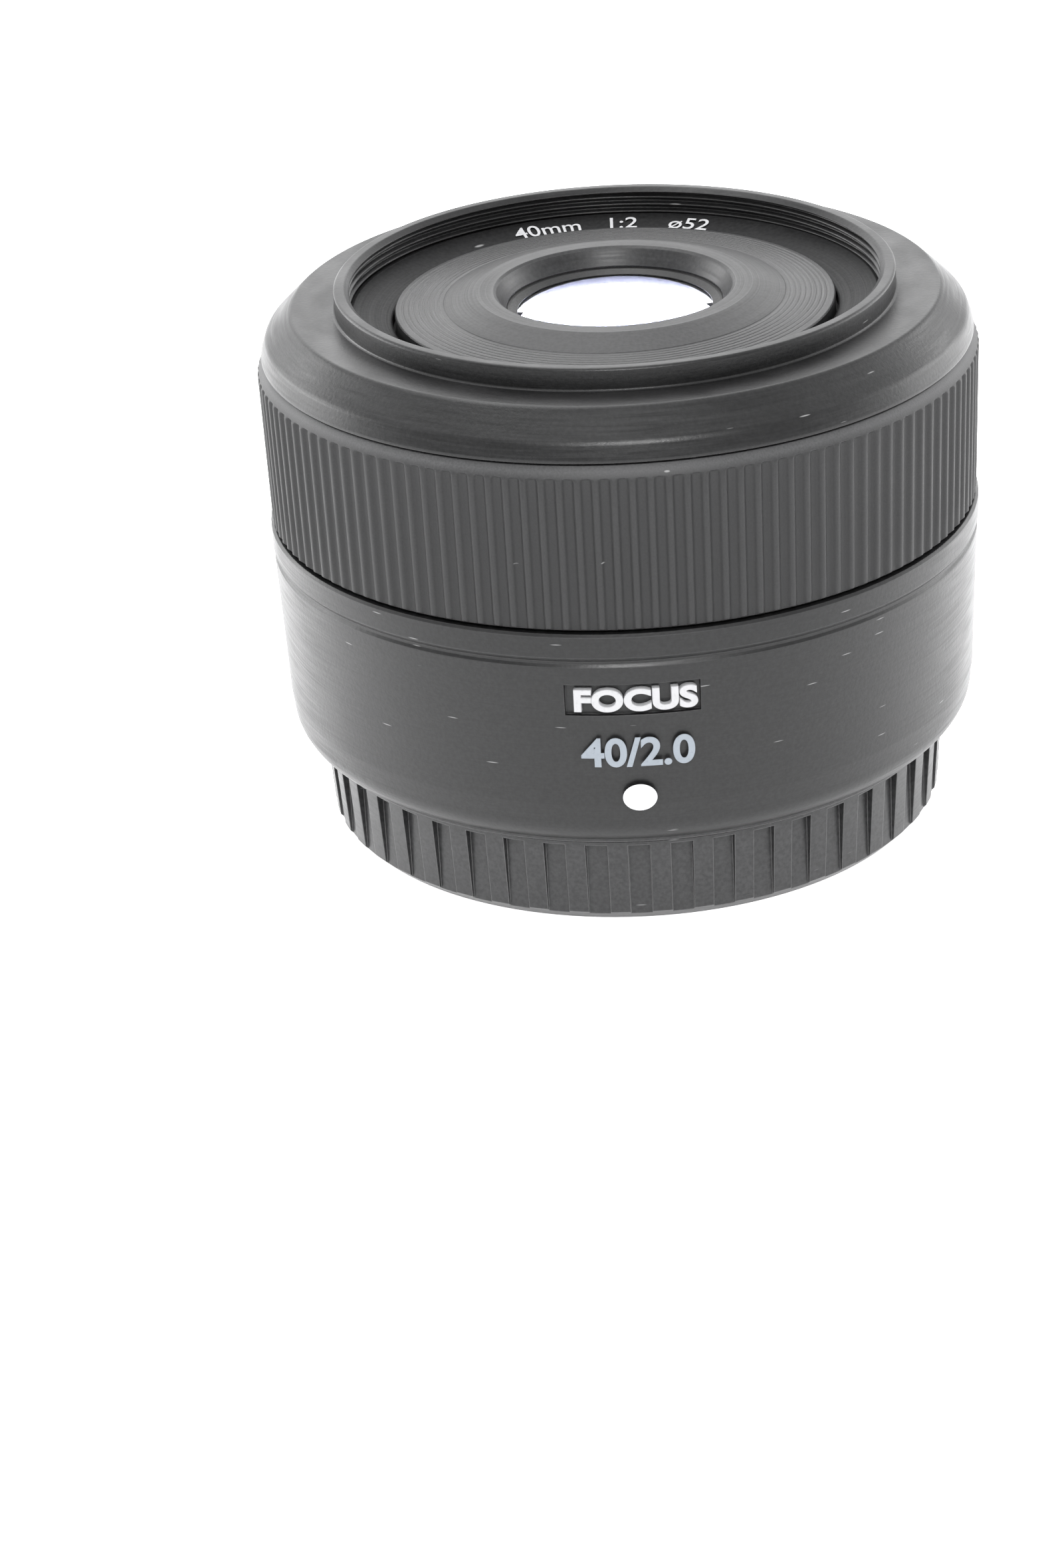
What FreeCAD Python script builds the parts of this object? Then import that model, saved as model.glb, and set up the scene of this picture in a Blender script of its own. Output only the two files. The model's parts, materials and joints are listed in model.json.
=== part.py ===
"""A 40 mm f/2 autofocus prime lens with its rear cap on, as a FreeCAD document.

Units are millimetres. The origin is the centre of the rear cap's underside and +Z is the optical
axis towards the subject. The lens is drawn with its optical unit run fully forward.
"""

import FreeCAD
import Part
import Sketcher
import math
import os

DOC = FreeCAD.newDocument("PrimeLens")
Z_AXIS = FreeCAD.Vector(0, 0, 1)

# Driving dimensions: one spreadsheet cell each. Heights are measured from the cap's underside.
DIMENSIONS = {
    # standard interfaces and overall size
    "flange_height": 9.3,
    "flange_to_rim": 45.5,
    "largest_radius": 35.0,
    "thread_minor_radius": 25.594,
    "thread_major_radius": 26.05,
    "throat_radius": 27.3,
    # outside shells
    "plate_radius": 32.0,
    "barrel_top": 31.9,
    "barrel_wall_radius": 33.0,
    "ring_bottom": 32.2,
    "ring_height": 16.05,
    "ring_bore_radius": 32.6,
    "ring_ribs": 132,
    "bezel_bottom": 48.5,
    "shoulder_height": 52.82,
    "shoulder_radius": 31.3,
    "rim_radius": 27.1,
    "ledge_height": 50.2,
    "ledge_radius": 24.5,
    # rear cap
    "cap_height": 9.1,
    "cap_radius": 31.2,
    "cap_bore_radius": 28.7,
    "cap_floor": 1.8,
    "cap_ribs": 48,
    # fixed frame
    "chassis_radius": 31.95,
    "chassis_bore": 30.4,
    "chassis_floor": 12.4,
    "chassis_step": 26.5,
    "chassis_top": 31.5,
    "carrier_radius": 31.4,
    "carrier_bore": 29.95,
    "carrier_top": 49.4,
    "rod_radius": 1.0,
    "rod_circle": 25.0,
    "motor_circle": 25.6,
    # moving optical unit
    "unit_radius": 21.3,
    "unit_wall": 1.2,
    "unit_front": 52.07,
    "lip_height": 53.35,
    "mid_wall": 35.5,
    "iris_base": 36.9,
    # iris
    "open_radius": 7.8,
    "blade_outer_radius": 11.2,
    "blade_pivot_circle": 12.4,
    "blade_thickness": 0.1,
    "blade_step": 0.18,
    "blade_level": 37.9,
    "blade_count": 9,
    "blade_lever": 2.4,
    "blade_turn": 31.3,
    "drive_turn": 19.56,
    "drive_level": 39.6,
    "gear_module": 0.3,
    "drive_teeth": 100,
    "pinion_teeth": 8,
    # running clearances
    "running_gap": 0.05,
}

SHEET = DOC.addObject("Spreadsheet::Sheet", "Sizes")


class Size:
    """A length that knows both its number and the spreadsheet expression that gives it."""

    def __init__(self, value, text):
        self.value = float(value)
        self.text = text

    def _combine(self, other, sign, value):
        return Size(value, f"({self.text} {sign} {as_size(other).text})")

    def __add__(self, other):
        return self._combine(other, "+", self.value + as_size(other).value)

    def __sub__(self, other):
        return self._combine(other, "-", self.value - as_size(other).value)

    def __mul__(self, other):
        return self._combine(other, "*", self.value * as_size(other).value)

    def __truediv__(self, other):
        return self._combine(other, "/", self.value / as_size(other).value)

    def __radd__(self, other):
        return as_size(other) + self

    def __rsub__(self, other):
        return as_size(other) - self

    def __rmul__(self, other):
        return as_size(other) * self

    def __neg__(self):
        return Size(-self.value, f"(-1 * {self.text})")


def as_size(number):
    """Plain numbers become sizes whose expression is the number itself."""
    if isinstance(number, Size):
        return number
    return Size(number, f"{float(number):.6f}")


def fill_sheet():
    for row, (alias, number) in enumerate(DIMENSIONS.items(), start=1):
        SHEET.set(f"A{row}", alias)
        SHEET.set(f"B{row}", str(number))
        SHEET.setAlias(f"B{row}", alias)
    DOC.recompute()


def dim(alias):
    return Size(DIMENSIONS[alias], f"Sizes.{alias}")


def count(alias):
    return int(DIMENSIONS[alias])


# ---------------------------------------------------------------- drawing helpers


def bind(item, prop, size):
    """Sets a property from a size and binds it to the spreadsheet."""
    size = as_size(size)
    setattr(item, prop, size.value)
    item.setExpression(prop, size.text)


def turned_point(x, y, turn):
    """The point (x, y) turned about the optical axis by `turn` degrees."""
    x, y = as_size(x), as_size(y)
    c, s = math.cos(math.radians(turn)), math.sin(math.radians(turn))
    new_x = Size(x.value * c - y.value * s, f"({x.text} * cos({turn}) - {y.text} * sin({turn}))")
    new_y = Size(x.value * s + y.value * c, f"({x.text} * sin({turn}) + {y.text} * cos({turn}))")
    return new_x, new_y


def place(item, x, y, z, turn=0.0, tilt=None):
    """Puts a primitive at (x, y, z), swung about the optical axis; tilt is its own rotation."""
    new_x, new_y = turned_point(x, y, turn)
    rotation = FreeCAD.Rotation(Z_AXIS, turn)
    if tilt is not None:
        rotation = rotation.multiply(tilt)
    spot = FreeCAD.Vector(new_x.value, new_y.value, as_size(z).value)
    item.Placement = FreeCAD.Placement(spot, rotation)
    for letter, size in (("x", new_x), ("y", new_y), ("z", as_size(z))):
        item.setExpression(f"Placement.Base.{letter}", size.text)
    return item


def cylinder(name, radius, low, high, x=0, y=0, turn=0.0):
    item = DOC.addObject("Part::Cylinder", name)
    bind(item, "Radius", radius)
    bind(item, "Height", as_size(high) - low)
    return place(item, x, y, low, turn)


def radial_cylinder(name, radius, inner, outer, height, turn=0.0):
    """A cylinder that lies along the radius, from `inner` to `outer`, at one height."""
    item = DOC.addObject("Part::Cylinder", name)
    bind(item, "Radius", radius)
    bind(item, "Height", as_size(outer) - inner)
    return place(item, inner, 0, height, turn, FreeCAD.Rotation(FreeCAD.Vector(0, 1, 0), 90))


def box(name, inner, outer, left, right, low, high, turn=0.0):
    """A block between two radii along X, from `left` to `right` along Y, swung by `turn`."""
    item = DOC.addObject("Part::Box", name)
    bind(item, "Length", as_size(outer) - inner)
    bind(item, "Width", as_size(right) - left)
    bind(item, "Height", as_size(high) - low)
    return place(item, inner, left, low, turn)


def fused(label, items):
    whole = DOC.addObject("Part::MultiFuse", label)
    whole.Shapes = items
    return whole


def grouped(label, items):
    """Separate solids kept in one node."""
    whole = DOC.addObject("Part::Compound", label)
    whole.Links = items
    return whole


def cut(label, base, tools):
    result = DOC.addObject("Part::Cut", label)
    result.Base = base
    result.Tool = tools[0] if len(tools) == 1 else fused(label + "_tools", tools)
    return result


def new_body(label):
    return DOC.addObject("PartDesign::Body", label)


def new_sketch(body, name, role, height=None):
    """A sketch on one of the body's own origin planes, raised by `height` along its normal."""
    sketch = body.newObject("Sketcher::SketchObject", f"{body.Name}_{name}")
    plane = next(f for f in body.Origin.OriginFeatures if f.Role == role)
    sketch.AttachmentSupport = [(plane, "")]
    sketch.MapMode = "FlatFace"
    if height is not None:
        height = as_size(height)
        offset = FreeCAD.Placement(FreeCAD.Vector(0, 0, height.value), FreeCAD.Rotation())
        sketch.AttachmentOffset = offset
        sketch.setExpression("AttachmentOffset.Base.z", height.text)
    return sketch


def fix_coordinate(sketch, edge, end, kind, size):
    """Holds one coordinate of a sketch point at a size measured from the sketch's origin."""
    if abs(size.value) < 1e-9:
        axis = -2 if kind == "DistanceX" else -1
        sketch.addConstraint(Sketcher.Constraint("PointOnObject", edge, end, axis))
        return
    if size.value > 0:
        row = sketch.addConstraint(Sketcher.Constraint(kind, -1, 1, edge, end, size.value))
        sketch.setExpression(f"Constraints[{row}]", size.text)
    else:
        size = -size
        row = sketch.addConstraint(Sketcher.Constraint(kind, edge, end, -1, 1, size.value))
        sketch.setExpression(f"Constraints[{row}]", size.text)


def arc_between(start, end, radius):
    """The minor arc from start to end; a positive radius has its centre to the left of the chord."""
    chord = end - start
    half = chord.Length / 2
    side = FreeCAD.Vector(-chord.y, chord.x, 0).normalize()
    rise = math.sqrt(radius * radius - half * half) * (1 if radius > 0 else -1)
    centre = start + chord * 0.5 + side * rise
    first, last = (start, end) if radius > 0 else (end, start)
    low = math.atan2(first.y - centre.y, first.x - centre.x)
    high = math.atan2(last.y - centre.y, last.x - centre.x)
    if high < low:
        high += 2 * math.pi
    return Part.ArcOfCircle(Part.Circle(centre, Z_AXIS, abs(radius)), low, high)


def draw_outline(sketch, corners):
    """Draws a closed outline of (x, y) corners. A third value makes the edge that leaves the
    corner an arc of that radius, positive when its centre is on the left of the way round."""
    corners = [(as_size(c[0]), as_size(c[1]), c[2] if len(c) > 2 else None) for c in corners]
    points = [FreeCAD.Vector(x.value, y.value, 0) for x, y, _ in corners]
    first_edge = sketch.GeometryCount
    ends = []
    for i, (_, _, radius) in enumerate(corners):
        start, end = points[i], points[(i + 1) % len(points)]
        if radius is None:
            sketch.addGeometry(Part.LineSegment(start, end), False)
            ends.append((1, 2))
        else:
            sketch.addGeometry(arc_between(start, end, as_size(radius).value), False)
            ends.append((1, 2) if as_size(radius).value > 0 else (2, 1))
    for i, (x, y, radius) in enumerate(corners):
        edge, before = first_edge + i, first_edge + (i - 1) % len(corners)
        sketch.addConstraint(
            Sketcher.Constraint("Coincident", before, ends[i - 1][1], edge, ends[i][0])
        )
        fix_coordinate(sketch, edge, ends[i][0], "DistanceX", x)
        fix_coordinate(sketch, edge, ends[i][0], "DistanceY", y)
        if radius is not None:
            size = as_size(radius)
            row = sketch.addConstraint(Sketcher.Constraint("Radius", edge, abs(size.value)))
            sketch.setExpression(f"Constraints[{row}]", size.text if size.value > 0 else (-size).text)


def draw_circle(sketch, x, y, radius):
    x, y, radius = as_size(x), as_size(y), as_size(radius)
    circle = Part.Circle(FreeCAD.Vector(x.value, y.value, 0), Z_AXIS, radius.value)
    edge = sketch.addGeometry(circle, False)
    fix_coordinate(sketch, edge, 3, "DistanceX", x)
    fix_coordinate(sketch, edge, 3, "DistanceY", y)
    row = sketch.addConstraint(Sketcher.Constraint("Radius", edge, radius.value))
    sketch.setExpression(f"Constraints[{row}]", radius.text)


def add_turning(body, name, corners):
    """Adds a solid of revolution; corners are (radius, height)."""
    sketch = new_sketch(body, name + "_profile", "XZ_Plane")
    draw_outline(sketch, corners)
    feature = body.newObject("PartDesign::Revolution", f"{body.Name}_{name}")
    feature.Profile = sketch
    feature.ReferenceAxis = (sketch, ["V_Axis"])
    feature.Angle = 360
    body.Tip = feature
    return feature


def turned(label, corners):
    """A body that is one solid of revolution about the optical axis."""
    body = new_body(label)
    add_turning(body, "turning", corners)
    return body


def add_plate(body, name, low, thickness, draw, pocket=False):
    """Pads, or cuts, an outline drawn by `draw(sketch)` from height `low` up by `thickness`."""
    sketch = new_sketch(body, name + "_plan", "XY_Plane", low)
    draw(sketch)
    kind = "PartDesign::Pocket" if pocket else "PartDesign::Pad"
    feature = body.newObject(kind, f"{body.Name}_{name}")
    feature.Profile = sketch
    bind(feature, "Length", thickness)
    feature.Reversed = pocket
    body.Tip = feature
    return feature


def add_pattern(body, feature, occurrences):
    """Repeats a feature evenly about the optical axis."""
    pattern = body.newObject("PartDesign::PolarPattern", feature.Name + "_round")
    pattern.Originals = [feature]
    pattern.Axis = (feature.Profile[0], ["N_Axis"])
    pattern.Angle = 360
    pattern.Occurrences = occurrences
    body.Tip = pattern
    return pattern


def screws(label, head_radius, head_height, shank_radius, shank_length, places, head_up):
    """Cross-recess screws along the optical axis; places are (circle, angle, seat height)."""
    items = []
    way = 1 if head_up else -1
    slot = 0.12
    for i, (circle, angle, seat) in enumerate(places):
        seat = as_size(seat)
        ends = [seat, seat + way * head_height]
        low, high = ends if head_up else ends[::-1]
        head = cylinder(f"{label}_head{i}", head_radius, low, high, circle, 0, angle)
        ends = [seat - way * shank_length, seat]
        low, high = ends if head_up else ends[::-1]
        shank = cylinder(f"{label}_shank{i}", shank_radius, low, high, circle, 0, angle)
        depth = head_height * 0.6
        ends = [seat + way * (head_height - depth), seat + way * (head_height + 0.1)]
        low, high = ends if head_up else ends[::-1]
        arm = head_radius * 0.6
        bars = [
            box(f"{label}_slot{i}a", circle - arm, circle + arm, -slot, slot, low, high, angle),
            box(f"{label}_slot{i}b", circle - slot, circle + slot, -arm, arm, low, high, angle),
        ]
        items.append(cut(f"{label}_{i}", fused(f"{label}_blank{i}", [head, shank]), bars))
    return grouped(label, items)


def evenly(number, start=0.0):
    return [start + 360.0 * i / number for i in range(number)]


# ---------------------------------------------------------------- rear end


def bayonet_mount():
    """The flange plate with its collar and four claws, the side that meets a camera."""
    flange = dim("flange_height")
    collar = dim("throat_radius") - 1.7
    bottom = flange - 4.7
    body = turned(
        "bayonet_mount",
        [
            (22.5, bottom),
            (collar, bottom),
            (collar, flange),
            (dim("plate_radius"), flange),
            (dim("plate_radius"), flange + 1.7),
            (22.5, flange + 1.7),
        ],
    )
    claw = sector(collar - 0.3, dim("throat_radius"), -19, 19)
    feature = add_plate(body, "claw", bottom + 0.4, 1.4, claw)
    add_pattern(body, feature, 4)
    hole = circle_at(29.6, 45, 0.95)
    add_pattern(body, add_plate(body, "screw_hole", flange - 1, 4, hole, pocket=True), 4)
    seat = circle_at(29.6, 45, 1.75)
    add_pattern(body, add_plate(body, "screw_seat", flange - 1, 1.7, seat, pocket=True), 4)
    add_plate(body, "lock_slot", flange - 1, 2.4, sector(28.4, 30.6, -2.6, 2.6), pocket=True)
    return body


def sector(inner, outer, start, end):
    """Draws a piece of a ring between two radii and two angles, less than half a turn."""

    def draw(sketch):
        corners = [
            turned_point(outer, 0, start) + (as_size(outer),),
            turned_point(outer, 0, end),
            turned_point(inner, 0, end) + (-as_size(inner),),
            turned_point(inner, 0, start),
        ]
        draw_outline(sketch, corners)

    return draw


def circle_at(circle, angle, radius):
    def draw(sketch):
        x, y = turned_point(circle, 0, angle)
        draw_circle(sketch, x, y, radius)

    return draw


def mount_screws():
    seat = dim("flange_height") + 0.7
    places = [(29.6, angle, seat) for angle in evenly(4, 45)]
    return screws("mount_screws", 1.65, 0.65, 0.8, 4.2, places, head_up=False)


def contact_block():
    """Holds the electrical contacts inside the collar."""
    body = new_body("contact_block_blank")
    add_plate(body, "block", 4.7, dim("flange_height") - 5.0, sector(19.9, 22.4, 52, 128))
    pins = [cylinder(f"pin_hole{i}", 0.58, 4, 9.5, 21.2, 0, a) for i, a in enumerate(contact_angles())]
    holes = [cylinder(f"baffle_hole{i}", 0.56, 6, 9.5, 20.6, 0, a) for i, a in enumerate((54.5, 125.5))]
    return cut("contact_block", body, pins + holes)


def contact_angles():
    return [90 + 6.0 * (i - 5) for i in range(11)]


def contact_pins():
    pins = [cylinder(f"contact_pin{i}", 0.55, 4.45, 8.9, 21.2, 0, a) for i, a in enumerate(contact_angles())]
    return grouped("contact_pins", pins)


def contact_flex():
    """The flexible strip from the contacts up to the circuit board."""
    board_top = dim("chassis_floor") + 1.3
    upright = box("flex_upright", 21.3, 21.45, -3, 3, 9.0, board_top + 0.3, 90)
    tail = box("flex_tail", 21.45, 23.4, -3, 3, board_top + 0.15, board_top + 0.3, 90)
    return fused("contact_flex", [upright, tail])


def rear_baffle():
    corners = [
        (14.8, 9.6), (17.0, 9.0), (21.15, 9.0), (21.15, 10.2),
        (17.4, 10.2), (15.3, 10.6), (14.8, 10.6),
    ]
    body = turned("rear_baffle_blank", corners)
    holes = [cylinder(f"baffle_bore{i}", 0.6, 8, 11, 20.6, 0, a) for i, a in enumerate((54.5, 125.5))]
    return cut("rear_baffle", body, holes)


def baffle_screws():
    places = [(20.6, angle, 10.2) for angle in (54.5, 125.5)]
    return screws("baffle_screws", 0.5, 0.4, 0.5, 3.2, places, head_up=True)


# ---------------------------------------------------------------- fixed frame


def main_chassis():
    """The rear half of the fixed frame: floor, wall, screw bosses and rod seats."""
    low, floor = dim("flange_height") + 1.7, dim("chassis_floor")
    outer, bore = dim("chassis_radius"), dim("chassis_bore")
    step, top, neck = dim("chassis_step"), dim("chassis_top"), dim("carrier_bore")
    body = turned(
        "main_chassis",
        [
            (22.0, low),
            (outer, low),
            (outer, step),
            (outer - 0.95, step),
            (outer - 0.95, top),
            (neck, top),
            (neck, step - 1.3),
            (bore, step - 1.9),
            (bore, floor),
            (22.0, floor),
        ],
    )
    add_pattern(body, add_plate(body, "boss", floor, 2.4, circle_at(29.6, 45, 1.9)), 4)
    add_pattern(body, add_plate(body, "tapping", low, 3.6, circle_at(29.6, 45, 0.85), pocket=True), 4)
    add_pattern(body, add_plate(body, "post", floor, 0.5, circle_at(24.5, 110, 1.4)), 3)
    post_hole = circle_at(24.5, 110, 0.55)
    add_pattern(body, add_plate(body, "post_hole", floor - 0.9, 2, post_hole, pocket=True), 3)
    add_pattern(body, add_plate(body, "lug", top - 3.5, 3.5, circle_at(28.8, 80, 1.6)), 3)
    add_pattern(body, add_plate(body, "lug_hole", top - 3, 4, circle_at(28.8, 80, 0.65), pocket=True), 3)
    seat = circle_at(dim("rod_circle"), 30, dim("rod_radius") + 0.02)
    add_pattern(body, add_plate(body, "rod_seat", floor - 1, 2, seat, pocket=True), 2)
    return body


def ring_carrier():
    """The front half of the fixed frame: the ring's bearing and the sleeve round the front barrel."""
    low, top = dim("chassis_top"), dim("carrier_top")
    outer, bore = dim("carrier_radius"), dim("carrier_bore")
    land = dim("ring_bore_radius") - dim("running_gap")
    sleeve = dim("unit_radius") + 0.35
    body = turned(
        "ring_carrier_blank",
        [
            (27.4, low),
            (outer, low),
            (outer, low + 3.1),
            (land, low + 3.4),
            (land, low + 4.9),
            (outer, low + 5.2),
            (outer, top - 4.4),
            (land, top - 4.1),
            (land, top),
            (24.4, top),
            (24.4, top + 0.7),
            (sleeve, top + 0.7),
            (sleeve, 40.6),
            (sleeve + 0.75, 40.6),
            (sleeve + 0.75, top - 1.4),
            (bore, top - 1.4),
            (bore, low + 1.4),
            (27.4, low + 1.4),
        ],
    )
    seat = circle_at(dim("rod_circle"), 30, dim("rod_radius") + 0.02)
    add_pattern(body, add_plate(body, "rod_seat", top - 2, 1.6, seat, pocket=True), 2)
    bezel_hole = circle_at(28.2, 60, 0.65)
    add_pattern(body, add_plate(body, "bezel_hole", top - 2, 3, bezel_hole, pocket=True), 3)
    lug_hole = circle_at(28.8, 80, 0.65)
    add_pattern(body, add_plate(body, "lug_hole", low - 1, 3, lug_hole, pocket=True), 3)
    holes = [radial_cylinder(f"bracket_tap{z}", 0.62, 29, 31.15, z, 150) for z in (35, 39)]
    notch = box("bracket_notch", 26, bore, -3.6, 3.6, low - 0.5, low + 1.7, 150)
    return cut("ring_carrier", body, holes + [notch])


def frame_screws():
    """Six like screws: three join the two halves of the frame, three hold the bezel."""
    lug_seat = dim("chassis_top") + 1.4
    flange_seat = dim("carrier_top") - 1.4
    up = screws("lug_screws", 1.05, 0.6, 0.6, 3.6, [(28.8, a, lug_seat) for a in evenly(3, 80)], True)
    down = screws("bezel_screws", 1.05, 0.6, 0.6, 3.2, [(28.2, a, flange_seat) for a in evenly(3, 60)], False)
    return grouped("frame_screws", [up, down])


def rear_barrel():
    """The outer shell behind the control ring, with the recess for the badge."""
    low, top = dim("flange_height") + 0.348, dim("barrel_top")
    wall = dim("barrel_wall_radius")
    widest = dim("largest_radius") - 0.1
    body = turned(
        "rear_barrel",
        [
            (dim("plate_radius") + 0.05, low, 3.15),
            (widest - 0.8, low + 2.952),
            (widest - 0.6, low + 4.7),
            (widest - 0.4, top - 11.4),
            (widest - 0.1, top - 3.3),
            (widest - 0.3, top - 3.0),
            (widest - 0.3, top - 2.75),
            (widest, top - 2.3),
            (widest, top - 0.25),
            (widest - 0.25, top),
            (wall, top),
            (wall, 14.0),
            (dim("plate_radius") + 0.05, 11.4),
        ],
    )
    sketch = new_sketch(body, "badge_profile", "YZ_Plane")
    depth = widest - 0.72
    draw_outline(sketch, [(-depth, 23.7), (-depth, 26.85), (-widest - 1, 26.85), (-widest - 1, 23.7)])
    recess = body.newObject("PartDesign::Groove", "badge_recess")
    recess.Profile = sketch
    recess.ReferenceAxis = (sketch, ["V_Axis"])
    recess.Angle = 20.9
    recess.Midplane = True
    body.Tip = recess
    return body


def front_bezel():
    """The front shell: sloping shoulder, filter thread and the ledge the name ring sits on."""
    low, rim = dim("bezel_bottom"), dim("flange_height") + dim("flange_to_rim")
    wide = dim("largest_radius") - 0.5
    edge, shoulder = dim("shoulder_radius"), dim("shoulder_height")
    rim_radius, thread = dim("rim_radius"), dim("thread_minor_radius")
    ledge, ledge_top = dim("ledge_radius"), dim("ledge_height")
    undercut = dim("thread_major_radius") + 0.1
    body = turned(
        "front_bezel",
        [
            (dim("ring_bore_radius") + 0.05, low),
            (wide, low),
            (wide, low + 0.3),
            (wide - 0.45, shoulder - 2.7),
            (wide - 0.65, shoulder - 2.42),
            (edge + 0.2, shoulder - 0.17),
            (edge - 0.05, shoulder),
            (rim_radius + 0.15, shoulder - 0.19),
            (rim_radius, shoulder - 0.04),
            (rim_radius, rim - 0.2),
            (rim_radius - 0.2, rim),
            (thread + 0.5, rim),
            (thread, rim - 0.45),
            (thread, rim - 1.3),
            (undercut, rim - 1.6),
            (undercut, ledge_top),
            (ledge, ledge_top),
            (ledge, dim("carrier_top")),
            (dim("ring_bore_radius") + 0.05, dim("carrier_top")),
        ],
    )
    hole = circle_at(28.2, 60, 0.65)
    add_pattern(body, add_plate(body, "bezel_hole", dim("carrier_top") - 1, 3.2, hole, pocket=True), 3)
    return body


def name_ring():
    """The dished ring below the filter thread that carries the lens data."""
    low = dim("ledge_height")
    inner = dim("unit_radius") + 0.3
    outer = dim("thread_major_radius") + 0.05
    return turned(
        "name_ring",
        [
            (inner, low),
            (outer, low),
            (outer, low + 1.7),
            (outer - 0.3, low + 1.9),
            (outer - 0.75, low + 1.95),
            (inner + 0.15, low + 0.95),
            (inner, low + 0.85),
        ],
    )


def barrel_seal():
    """The felt ring that keeps dust out round the moving front barrel."""
    inner, top = dim("unit_radius") + 0.06, dim("carrier_top")
    body = turned(
        "barrel_seal",
        [(inner, top - 0.8), (inner + 0.27, top - 0.8), (inner + 0.27, top + 0.5), (inner, top + 0.5)],
    )
    return body


# ---------------------------------------------------------------- control ring


def focus_ring():
    """The ribbed ring that turns without end."""
    low, bore = dim("ring_bottom"), dim("ring_bore_radius")
    top = low + dim("ring_height")
    crest = dim("largest_radius")
    body = turned(
        "focus_ring",
        [
            (bore, low),
            (crest - 0.45, low),
            (crest - 0.28, low + 0.2),
            (crest, top - 1.15),
            (crest - 0.62, top - 0.3),
            (crest - 0.85, top),
            (bore, top),
        ],
    )
    notch = add_plate(body, "notch", low - 1, 18, circle_at(crest + 0.1, 0, 0.58), pocket=True)
    add_pattern(body, notch, count("ring_ribs"))
    return body


def encoder_comb():
    """The toothed band inside the ring that interrupts the light sensors."""
    outer, low = dim("ring_bore_radius") - 0.02, dim("ring_bottom")
    inner = outer - 0.63
    half_band = 1.2
    body = turned(
        "encoder_comb",
        [
            (inner, low - half_band),
            (outer, low - half_band),
            (outer, low + half_band),
            (inner, low + half_band),
        ],
    )
    tooth = add_plate(body, "tooth", low - 3.2, 2.1, sector(inner, inner + 0.35, -1.5, 1.5))
    add_pattern(body, tooth, 60)
    return body


def encoder_sensors():
    """Two fork sensors astride the comb's teeth."""
    sensors = []
    low = dim("chassis_step")
    for i, angle in enumerate((236, 247)):
        base = box(f"fork_base{i}", 31.05, 32.85, -1.6, 1.6, low, low + 1.7, angle)
        inner = box(f"fork_inner{i}", 31.05, 31.7, -1.6, 1.6, low + 1.7, low + 4.1, angle)
        outer = box(f"fork_outer{i}", 32.45, 32.85, -1.6, 1.6, low + 1.7, low + 4.1, angle)
        sensors.append(fused(f"fork{i}", [base, inner, outer]))
    return grouped("encoder_sensors", sensors)


# ---------------------------------------------------------------- focus drive and electronics


def guide_rod(label, angle):
    low, high = dim("chassis_floor") - 0.95, dim("carrier_top") - 0.45
    return cylinder(label, dim("rod_radius"), low, high, dim("rod_circle"), 0, angle)


def focus_motor():
    circle = dim("motor_circle")
    can = cylinder("motor_can", 4.0, 15.5, 25.5, circle, 0, 150)
    end = cylinder("motor_end", 3.4, 15.0, 15.5, circle, 0, 150)
    bore = cylinder("motor_bore", 0.66, 23.9, 26, circle, 0, 150)
    return cut("focus_motor", fused("motor_blank", [can, end]), [bore])


def motor_bracket():
    """The bent plate that carries the motor and both ends of the lead screw."""
    lower = box("bracket_lower", 22.0, 29.7, -3, 3, 25.5, 26.4, 150)
    spine = box("bracket_spine", 28.9, 29.7, -3, 3, 25.5, 42.0, 150)
    upper = box("bracket_upper", 23.6, 29.7, -3, 3, 41.1, 42.0, 150)
    circle = dim("motor_circle")
    tools = [
        cylinder("bracket_bore_low", 0.68, 25, 27, circle, 0, 150),
        cylinder("bracket_bore_high", 0.56, 41, 43, circle, 0, 150),
        radial_cylinder("bracket_hole_low", 0.66, 28, 30.5, 35, 150),
        radial_cylinder("bracket_hole_high", 0.66, 28, 30.5, 39, 150),
    ]
    return cut("motor_bracket", fused("bracket_blank", [lower, spine, upper]), tools)


def bracket_screws():
    items = []
    for z in (35, 39):
        head = radial_cylinder(f"bracket_head{z}", 1.0, 28.3, 28.9, z, 150)
        shank = radial_cylinder(f"bracket_shank{z}", 0.6, 28.9, 31.0, z, 150)
        slot = box(f"bracket_slot{z}", 28.2, 28.6, -0.7, 0.7, z - 0.12, z + 0.12, 150)
        items.append(cut(f"bracket_screw{z}", fused(f"bracket_blank{z}", [head, shank]), [slot]))
    return grouped("bracket_screws", items)


def lead_screw():
    """The threaded shaft that drives the optical unit."""
    circle = dim("motor_circle")
    parts = [
        cylinder("screw_tail", 0.6, 24.1, 26.7, circle, 0, 150),
        cylinder("screw_core", 0.72, 26.7, 40.9, circle, 0, 150),
        cylinder("screw_tip", 0.5, 40.9, 41.9, circle, 0, 150),
    ]
    return fused("lead_screw", parts)


def main_pcb():
    low = dim("chassis_floor") + 0.5
    body = turned("main_pcb", [(21.8, low), (27.3, low), (27.3, low + 0.8), (21.8, low + 0.8)])
    rod_hole = circle_at(dim("rod_circle"), 30, 1.5)
    add_pattern(body, add_plate(body, "rod_hole", low - 1, 3, rod_hole, pocket=True), 2)
    add_pattern(body, add_plate(body, "screw_hole", low - 1, 3, circle_at(24.5, 110, 0.6), pocket=True), 3)
    return body


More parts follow.
